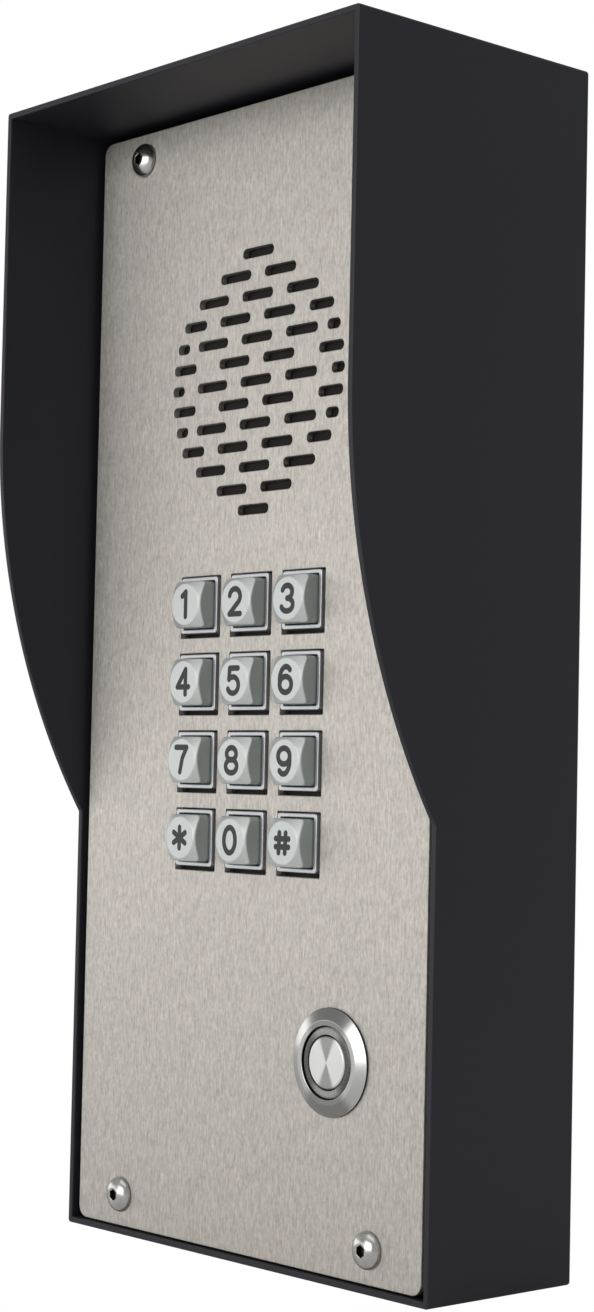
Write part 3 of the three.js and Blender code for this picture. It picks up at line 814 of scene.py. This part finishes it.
def makePlate():
    low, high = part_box("front_plate")
    front = -low.y
    rear = front - plate["thickness"]
    centre = (low + high) / 2
    outlines = [roundedBox(high.x - low.x, high.z - low.z, plate["corner"], centre.x, centre.z)]
    outlines += grilleSlots()
    opening = plate["opening"]
    for name in keyNames:
        place = middle(name)
        lowered = place.z - castingLift
        outlines.append(roundedBox(opening, opening, plate["openingCorner"], place.x, lowered, steps=3))
    for corner in corners:
        place = middle("plate_screw_" + corner)
        outlines.append(ring(plate["screwHole"], place.x, place.z))
    outlines.append(ring(plate["buttonHole"], buttonCentre.x, buttonCentre.z, steps=64))
    bm = bmesh.new()
    addFlat(bm, [clean(outline) for outline in outlines], rear, front, plate["edge"])
    for node in keypadNuts + ["speaker_nut_1", "speaker_nut_2"]:
        place = middle(node)
        tip = -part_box(node)[1].y - plate["studTip"]
        addFlat(bm, [ring(plate["stud"], place.x, place.z, steps=20)], tip, rear + sunk, plate["edge"])
    finishPiece("brushed_plate", bm, finishes["front_plate"], ["front_plate"])


makePlate()
print("plate made")


keypad = {
    "collarSide": 13.8 * mm,
    "collarHole": 11.9 * mm,
    "collarHoleCorner": 0.4 * mm,
    "collarCorner": 0.7 * mm,
    "collarSunk": 0.5 * mm,
    "collarFront": 0.5 * mm,  # in front of the plate
    "edge": 0.18 * mm,
    "tray": (66 * mm, 82 * mm),
    "trayCorner": 1 * mm,
    "trayFront": 42 * mm,
    "trayRear": 39 * mm,
    "skirtRear": 33.8 * mm,
    "skirt": (6 * mm, 5 * mm),  # the skirt's thickness at the sides, and above and below
    "studHole": 1.7 * mm,
}


def makeCasting():
    plateFront = -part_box("front_plate")[0].y
    centre = middle("keypad_casting")
    width, height = keypad["tray"]
    hole, side, edge = keypad["collarHole"], keypad["collarSide"], keypad["edge"]
    keyHoles = []
    for name in keyNames:
        place = middle(name)
        keyHoles.append(clean(roundedBox(hole, hole, keypad["collarHoleCorner"], place.x, place.z, steps=3)))
    studHoles = [ring(keypad["studHole"], middle(nut).x, middle(nut).z, steps=20) for nut in keypadNuts]
    bm = bmesh.new()
    tray = clean(roundedBox(width, height, keypad["trayCorner"], centre.x, centre.z, steps=4))
    addFlat(bm, [tray] + keyHoles + studHoles, keypad["trayRear"], keypad["trayFront"], edge)
    sideways, upright = keypad["skirt"]
    inside = roundedBox(
        width - 2 * sideways, height - 2 * upright, keypad["trayCorner"], centre.x, centre.z, steps=4
    )
    addFlat(bm, [tray, clean(inside)] + studHoles, keypad["skirtRear"], keypad["trayRear"] + sunk, edge)
    rear = keypad["trayRear"] + keypad["collarSunk"]
    front = plateFront + keypad["collarFront"]
    for name, keyHole in zip(keyNames, keyHoles):
        place = middle(name)
        collar = clean(roundedBox(side, side, keypad["collarCorner"], place.x, place.z, steps=4))
        addFlat(bm, [collar, keyHole], rear, front, edge, material=1)
    # the tray and its skirt take the near-black painted shade; the collars take the casting
    finishPiece("keypad_collars", bm, [trayPaintedShade, finishes["casting"]], ["keypad_casting"])


keyCap = {
    "side": 11.3 * mm,
    "corner": 1.0 * mm,
    "disc": 5.1 * mm,
    "slope": math.tan(math.radians(33)),
    "discEdge": 0.1 * mm,
    "step": 0.02 * mm,  # between the flat disc and the slopes around it
    "slopeRings": (0.15, 0.5, 1.0),  # shares of the way to the rim
    "edge": 0.25 * mm,
    "segments": 128,
    "flange": 13.2 * mm,
    "flangeCorner": 0.6 * mm,
    "flangeFront": 38.8 * mm,
    "flangeRear": 37.6 * mm,
    "flangeEdge": 0.15 * mm,
    "sideSunk": 0.5 * mm,  # how far the cap's sides and its post are let into the flange
    "post": 2.5 * mm,
    "postSunk": 0.4 * mm,
}


def squareRadius(half, corner):
    # the distance from the centre to the rim of a rounded square, by angle
    def radiusAt(angle):
        long = max(abs(math.cos(angle)), abs(math.sin(angle)))
        short = min(abs(math.cos(angle)), abs(math.sin(angle)))
        straight = half / long
        if straight * short <= half - corner:
            return straight
        reach = (half - corner) * (long + short)
        return reach + math.sqrt(reach * reach - 2 * (half - corner) ** 2 + corner * corner)

    return radiusAt


def makeKey(name):
    low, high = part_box(name)
    place = (low + high) / 2
    x, z, front = place.x, place.z, -low.y
    rim = squareRadius(keyCap["side"] / 2, keyCap["corner"])
    disc, slope, edge = keyCap["disc"], keyCap["slope"], keyCap["edge"]
    slopeStart = disc + 3 * keyCap["step"]

    def fall(radius):
        return front - max(0, radius - disc) * slope

    def onSlope(radius):
        return fall(radius) - keyCap["step"]

    def partWay(share):
        return lambda angle: slopeStart + (rim(angle) - edge - slopeStart) * share

    def roundedRim(turn):
        return lambda angle: rim(angle) - edge * (1 - math.sin(turn))

    def roundedFall(turn):
        return lambda radius: fall(radius) - edge * (1 - math.cos(turn))

    bm = bmesh.new()
    loop = startRing(bm, x, z, front, disc - keyCap["discEdge"], keyCap["segments"])
    loop = growRing(bm, loop, atRadius(x, z, disc, front - keyCap["step"]))
    for share in keyCap["slopeRings"]:
        loop = growRing(bm, loop, atRadius(x, z, partWay(share), onSlope))
    for turn in (math.pi / 6, math.pi / 3, math.pi / 2):
        loop = growRing(bm, loop, atRadius(x, z, roundedRim(turn), roundedFall(turn)))
    crown = set(bm.faces)
    loop = growRing(bm, loop, atRadius(x, z, rim, keyCap["flangeFront"] - keyCap["sideSunk"]))
    # the crown keeps the key casting; the sides take the darker copy as painted shade
    for face in bm.faces:
        face.material_index = 0 if face in crown else 1
    bmesh.ops.edgeloop_fill(bm, edges=loop)
    flange = clean(roundedBox(keyCap["flange"], keyCap["flange"], keyCap["flangeCorner"], x, z, steps=3))
    addFlat(bm, [flange], keyCap["flangeRear"], keyCap["flangeFront"], keyCap["flangeEdge"])
    post = ring(keyCap["post"], x, z, steps=24)
    addFlat(bm, [post], -high.y, keyCap["flangeRear"] + keyCap["postSunk"], keyCap["flangeEdge"])
    finishPiece(name + "_cap", bm, [finishes["keys"], keySidesPaintedShade], [name], name)


mark = {
    "stroke": 1.4 * mm,
    "roundSteps": 16,
    "proud": 0.03 * mm,
    "step": 0.02 * mm,  # each stroke starts this much deeper, so that two which meet share no edge
    "halfWidth": 2.05,  # to the middle of the stroke, in mm
    "halfHeight": 3.0,
}


def sweep(x, z, radiusX, radiusZ, start, end, steps=28):
    points = []
    for i in range(steps + 1):
        angle = math.radians(start + (end - start) * i / steps)
        points.append((x + radiusX * math.cos(angle), z + radiusZ * math.sin(angle)))
    return points


def bars(*points):
    # straight strokes from each point to the next
    return [list(pair) for pair in zip(points, points[1:])]


def crossed(count, reach):
    # straight strokes through the key's centre, evenly turned
    strokes = []
    for i in range(count):
        turn = math.pi * i / count
        x, z = reach * math.sin(turn), reach * math.cos(turn)
        strokes.append([(-x, -z), (x, z)])
    return strokes


def markStrokes():
    # middle lines of the strokes, each point in mm about the key's centre
    w, h = mark["halfWidth"], mark["halfHeight"]
    neck = sweep(0, 1.15, w - 0.1, h - 1.15, 170, -35)
    belly = sweep(-0.05, -1.05, w, h - 1.05, 135, -150)
    return {
        "1": bars((-1.0, 2.0), (0.35, h), (0.35, -h)),
        "2": [neck] + bars(neck[-1], (-w + 0.1, -h), (w, -h)),
        "3": [sweep(-0.05, 1.5, 1.75, 1.5, 160, -90), sweep(-0.05, -1.5, w, 1.5, 90, -160)],
        "4": bars((0.95, -h), (0.95, h), (-w - 0.1, -1.25), (w + 0.1, -1.25)),
        "5": bars((1.75, h), (-1.3, h), belly[0]) + [belly],
        "6": [sweep(0, -1.15, w, h - 1.15, 0, 360), sweep(0.1, 0, w + 0.1, h, 50, 190)],
        "7": bars((-w, h), (w, h), (0.45, 0.4), (-0.4, -h)),
        "8": [sweep(0, 1.55, 1.75, h - 1.55, 0, 360), sweep(0, -1.4, w, h - 1.4, 0, 360)],
        "9": [sweep(0, 1.15, w, h - 1.15, 0, 360), sweep(-0.1, 0, w + 0.1, h, -130, 10)],
        "0": [sweep(0, 0, w, h, 0, 360)],
        "star": crossed(3, 2.5),
        "hash": bars((-1.0, 2.3), (-1.2, -2.3))
        + bars((1.2, 2.3), (1.0, -2.3))
        + bars((-2.25, 0.95), (2.25, 0.95))
        + bars((-2.25, -0.95), (2.25, -0.95)),
    }


def inked(bm, strokes):
    # round bars along the strokes, with a ball at each end
    radius = mark["stroke"] / 2
    curve = bpy.data.curves.new("strokes", "CURVE")
    curve.dimensions = "3D"
    curve.bevel_depth = radius
    curve.bevel_resolution = 2
    curve.use_fill_caps = True
    ends = set()
    for order, stroke in enumerate(strokes):
        depth = order * mark["step"]
        closed = math.dist(stroke[0], stroke[-1]) < touching
        points = stroke[:-1] if closed else stroke
        if not closed:
            ends |= {points[0], points[-1]}
        spline = curve.splines.new("POLY")
        spline.points.add(len(points) - 1)
        for point, (x, z) in zip(spline.points, points):
            point.co = (x * mm, depth, z * mm, 1)
        spline.use_cyclic_u = closed
    carrier = bpy.data.objects.new("strokes", curve)
    mesh = bpy.data.meshes.new_from_object(carrier)
    for x, z in sorted(ends):
        place = Matrix.Translation((x * mm, 0, z * mm))
        bmesh.ops.create_uvsphere(
            bm, u_segments=mark["roundSteps"], v_segments=mark["roundSteps"] // 2, radius=radius, matrix=place
        )
    bm.from_mesh(mesh)
    bpy.data.objects.remove(carrier)
    bpy.data.curves.remove(curve)
    bpy.data.meshes.remove(mesh)


def makeMark(name):
    # the digit's bars, pressed flat on the key's face
    low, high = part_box(name)
    place = (low + high) / 2
    bm = bmesh.new()
    inked(bm, markStrokes()[name.removeprefix("key_")])
    flatten = Matrix.Diagonal((1, 2 * mark["proud"] / mark["stroke"], 1, 1))
    matrix = Matrix.Translation((place.x, low.y, place.z)) @ flatten
    bmesh.ops.transform(bm, matrix=matrix, verts=bm.verts)
    finishPiece(name + "_mark", bm, markPaint, body=name, smooth=80)


makeCasting()
for keyName in keyNames:
    makeKey(keyName)
    makeMark(keyName)
print("keypad made:", len(keyNames), "keys")


button = {
    "flange": 12.5 * mm,
    "flangeEdge": 0.4 * mm,
    "crown": 1.5 * mm,
    "lip": 9.7 * mm,
    "bore": 8.4 * mm,
    "boreDepth": 1.9 * mm,  # behind the plate's face
    "throat": 7 * mm,
    "barrel": 9.4 * mm,
    "edge": 0.12 * mm,
    "threadPitch": 1.0 * mm,
    "threadDepth": 0.45 * mm,
    "threadEnds": (0.5 * mm, 3 * mm),  # from the barrel's end, and from the flange
    "neck": 2 * mm,
    "ringInner": 6.4 * mm,
    "ringOuter": 8.15 * mm,
    "ringCrest": (0.75 * mm, 0.35 * mm),  # how far in and how far back the ring's outer edge rounds
    "face": 6.1 * mm,
    "faceEdge": 0.3 * mm,
    "faceDepth": 7.6 * mm,
    "stem": 3 * mm,
    "softEdge": 0.08 * mm,
    "steps": 128,
}


def threadProfile(rear, seat):
    first, last = button["threadEnds"]
    crest, pitch = button["barrel"], button["threadPitch"]
    points = []
    for i in range(int((seat - last - rear) / pitch)):
        depth = rear + first + i * pitch
        points.append((crest - button["threadDepth"], depth))
        points.append((crest, depth + 0.4 * pitch))
        points.append((crest, depth + 0.55 * pitch))
    return points


def makeBezel():
    front, rear = -buttonLow.y, -buttonHigh.y
    seat = front - button["crown"]
    shoulder = seat - button["boreDepth"]
    side = seat + button["flangeEdge"]
    profile = [
        (button["flange"], seat),
        (button["flange"], side),
        (button["lip"], front),
        (button["bore"], front),
        (button["bore"], shoulder),
        (button["throat"], shoulder),
        (button["throat"], rear),
        (button["barrel"] - button["threadDepth"], rear),
    ]
    profile += threadProfile(rear, seat)
    profile += [(button["barrel"], seat - button["neck"]), (button["barrel"], seat)]
    bm = spun(profile, buttonCentre.x, buttonCentre.z, button["steps"])
    ahead = -seat - 0.1 * mm
    bend = 0.3  # radians
    crown = [
        edge
        for edge in bm.edges
        if edge.calc_face_angle(0) > bend and all(vert.co.y < ahead for vert in edge.verts)
    ]
    roundEdges(bm, crown, button["edge"])
    bm.normal_update()
    for face in bm.faces:  # the flange's side, and all behind it, take the near-black steel as painted shade
        face.material_index = 1 if face.calc_center_median().y > -side else 0
    steels = [finishes["button_steel"], paintedShadeSteel]
    finishPiece("call_button_bezel", bm, steels, ["button_bezel"])


def makeLampRing():
    low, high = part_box("button_light_ring")
    rear, front = -high.y, -low.y
    inner, outer = button["ringInner"], button["ringOuter"]
    inwards, backwards = button["ringCrest"]
    profile = [(inner, rear), (outer, rear)]
    for share in (0, 1 / 3, 2 / 3, 1):
        profile.append((outer - inwards * share, front - backwards * (1 - share) ** 2))
    bm = spun(profile + [(inner, front)], buttonCentre.x, buttonCentre.z, button["steps"])
    roundSharp(bm, button["softEdge"])
    finishPiece("call_button_light", bm, finishes["light_ring"], ["button_light_ring"])


def makeButtonFace():
    low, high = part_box("button_actuator")
    tail, front = -high.y, -low.y
    shoulder = front - button["faceDepth"]
    face, edge = button["face"], button["faceEdge"]
    profile = [
        (0, tail),
        (button["stem"], tail),
        (button["stem"], shoulder),
        (face, shoulder),
        (face, front - edge),
        (face - edge, front),
        (0, front),
    ]
    bm = spun(profile, buttonCentre.x, buttonCentre.z, button["steps"])
    roundSharp(bm, button["softEdge"])
    node = "button_actuator"
    finishPiece("call_button_face", bm, faceSteel, [node], node)


makeBezel()
makeLampRing()
makeButtonFace()
print("call button made")


screw = {
    "head": 4.35 * mm,
    "height": 2.3 * mm,
    "flat": 1.83 * mm,
    "domeSteps": 12,
    "domeEnd": 87,  # degrees from the axis
    "underEdge": 0.1 * mm,
    "socket": 1.45 * mm,
    "socketDepth": 1.4 * mm,
    "socketEdge": (0.12 * mm, 0.15 * mm),  # how far out and how far down the socket's rim is broken
    "shank": 2.2 * mm,
    "pitch": 0.8 * mm,
    "threadDepth": 0.35 * mm,
    "threadEnds": (0.3 * mm, 1 * mm),  # from the tip, and from the head
    "tipEdge": 0.4 * mm,
    "segments": 72,
}


def hexRadius(circumscribed):
    def radiusAt(angle):
        sector = (angle + math.pi / 6) % (math.pi / 3) - math.pi / 6
        return circumscribed * math.cos(math.pi / 6) / math.cos(sector)

    return radiusAt


def growThread(bm, loop, x, z, seat, tip):
    # from under the head to the tip
    shank, pitch = screw["shank"], screw["pitch"]
    last, first = screw["threadEnds"]
    loop = growRing(bm, loop, atRadius(x, z, shank, seat))
    depth = seat - first
    while depth - pitch > tip + last:
        loop = growRing(bm, loop, atRadius(x, z, shank, depth))
        loop = growRing(bm, loop, atRadius(x, z, shank - screw["threadDepth"], depth - 0.4 * pitch))
        depth -= pitch
    loop = growRing(bm, loop, atRadius(x, z, shank, depth))
    return growRing(bm, loop, atRadius(x, z, shank - screw["tipEdge"], tip))


def makeScrew(corner):
    node = "plate_screw_" + corner
    low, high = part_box(node)
    place = (low + high) / 2
    x, z, front, tip = place.x, place.z, -low.y, -high.y
    height, head, flat = screw["height"], screw["head"], screw["flat"]
    seat = front - height
    socket = hexRadius(screw["socket"])
    outwards, downwards = screw["socketEdge"]

    def dome(radius):
        return seat + height * math.sqrt(max(0, head**2 - radius**2) / (head**2 - flat**2))

    def socketRim(angle):
        return socket(angle) + outwards

    bm = bmesh.new()
    loop = startRing(bm, x, z, front - screw["socketDepth"], socket, screw["segments"])
    loop = growRing(bm, loop, atRadius(x, z, socket, front - downwards))
    pocket = set(bm.faces)  # the hexagon socket, near-black as painted shade
    loop = growRing(bm, loop, atRadius(x, z, socketRim, front))
    start, end = math.asin(flat / head), math.radians(screw["domeEnd"])
    for i in range(screw["domeSteps"] + 1):
        turn = start + (end - start) * i / screw["domeSteps"]
        loop = growRing(bm, loop, atRadius(x, z, head * math.sin(turn), dome))
    loop = growRing(bm, loop, atRadius(x, z, head - screw["underEdge"], seat))
    loop = growThread(bm, loop, x, z, seat, tip)
    bmesh.ops.edgeloop_fill(bm, edges=loop)
    for face in bm.faces:
        face.material_index = 1 if face in pocket else 0
    finishPiece("screw_" + corner, bm, [finishes["screws"], paintedShadeSteel], [node], smooth=35)


grommet = {
    "bore": 6 * mm,
    "groove": 3.3 * mm,  # deep
    "flange": 1.6 * mm,
    "nose": 8 * mm,
    "edge": 0.3 * mm,
    "steps": 72,
}


def makeGrommet():
    low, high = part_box("cable_grommet")
    place = (low + high) / 2
    radius = (high.x - low.x) / 2
    rear, front = -high.y, -low.y
    inside = rear + housing["sheet"]
    neck = radius - grommet["groove"]
    profile = [
        (grommet["bore"], rear),
        (neck, rear),
        (neck, inside),
        (radius, inside),
        (radius, inside + grommet["flange"]),
        (grommet["nose"], front),
        (grommet["bore"], front),
    ]
    bm = spun(profile, place.x, place.z, grommet["steps"])
    roundSharp(bm, grommet["edge"], segments=3)
    finishPiece("rear_grommet", bm, finishes["black_rubber"], ["cable_grommet"])


for screwCorner in corners:
    makeScrew(screwCorner)
makeGrommet()
print("fasteners made")


def dressNodes():
    dressed = 0
    for name, node in frame["nodes"].items():
        if node.hide_render:
            continue
        for materialSlot in node.material_slots:
            materialSlot.material = finishes[slotOfNode[name]]
        dressed += 1
    print("finishes put on", dressed, "inner pieces")


dressNodes()


studio = {
    "floor": shade(0.9, 0.9, 0.9),
    "floorReach": 12,
    "clearance": 0.5 * mm,  # between the panel's bottom and the floor
    "sky": shade(0.93, 0.96, 1.0),
    "skyStrength": 0.5,
    "lamps": {
        "left_front": {"aim": (-0.85, -0.53, -0.12), "distance": 1.6, "size": (2.6, 1.0), "glow": 1.3},
        "front": {"aim": (0.0, -1.0, 0.10), "distance": 1.7, "size": (1.3, 1.4), "glow": 2.5},
        "top": {"aim": (0.1, -0.35, 1.0), "distance": 1.6, "size": (1.6, 1.2), "glow": 0.8},
    },
}


def makeFloor():
    # pure white to the camera, plain paper to every other ray
    bm = bmesh.new()
    bmesh.ops.create_grid(bm, x_segments=1, y_segments=1, size=studio["floorReach"])
    bmesh.ops.translate(bm, verts=bm.verts, vec=(0, 0, cadBox[0][2] - studio["clearance"]))
    mesh = bpy.data.meshes.new("floor")
    bm.to_mesh(mesh)
    bm.free()
    paper = Finish("floor_paper", roughness=0.9)
    paper.set("Base Color", studio["floor"])
    bare = paper.node("ShaderNodeEmission", {}, {"Color": white, "Strength": 1.0})
    seen = paper.node("ShaderNodeLightPath", output="Is Camera Ray")
    lit = Signal(paper, paper.surface.outputs[0])
    blended = paper.node("ShaderNodeMixShader", {}, {0: seen, 1: lit, 2: bare})
    paper.tree.links.new(blended.socket, paper.tree.nodes["Material Output"].inputs["Surface"])
    mesh.materials.append(paper.material)
    floor = bpy.data.objects.new("floor", mesh)
    scene.collection.objects.link(floor)


def makeSky():
    # white behind the panel, a soft even sky as light
    world = bpy.data.worlds.new("studio")
    world.use_nodes = True
    tree = world.node_tree
    sky = tree.nodes["Background"]
    sky.inputs["Color"].default_value = studio["sky"]
    sky.inputs["Strength"].default_value = studio["skyStrength"]
    backdrop = tree.nodes.new("ShaderNodeBackground")
    backdrop.inputs["Color"].default_value = white
    mix = tree.nodes.new("ShaderNodeMixShader")
    path = tree.nodes.new("ShaderNodeLightPath")
    tree.links.new(path.outputs["Is Camera Ray"], mix.inputs[0])
    tree.links.new(sky.outputs[0], mix.inputs[1])
    tree.links.new(backdrop.outputs[0], mix.inputs[2])
    tree.links.new(mix.outputs[0], tree.nodes["World Output"].inputs["Surface"])
    scene.world = world


def makeLamps():
    centre = (Vector(cadBox[0]) + Vector(cadBox[1])) / 2
    for name, lamp in studio["lamps"].items():
        data = bpy.data.lights.new(name, "AREA")
        data.shape = "RECTANGLE"
        data.size, data.size_y = lamp["size"]
        data.energy = lamp["glow"] * math.pi * data.size * data.size_y
        light = bpy.data.objects.new(name, data)
        aim = Vector(lamp["aim"]).normalized()
        light.location = centre + aim * lamp["distance"]
        light.rotation_euler = aim.to_track_quat("Z", "Y").to_euler()
        light.visible_camera = False
        scene.collection.objects.link(light)


makeFloor()
makeSky()
makeLamps()
scene.view_settings.view_transform = "Standard"
print("studio lit")
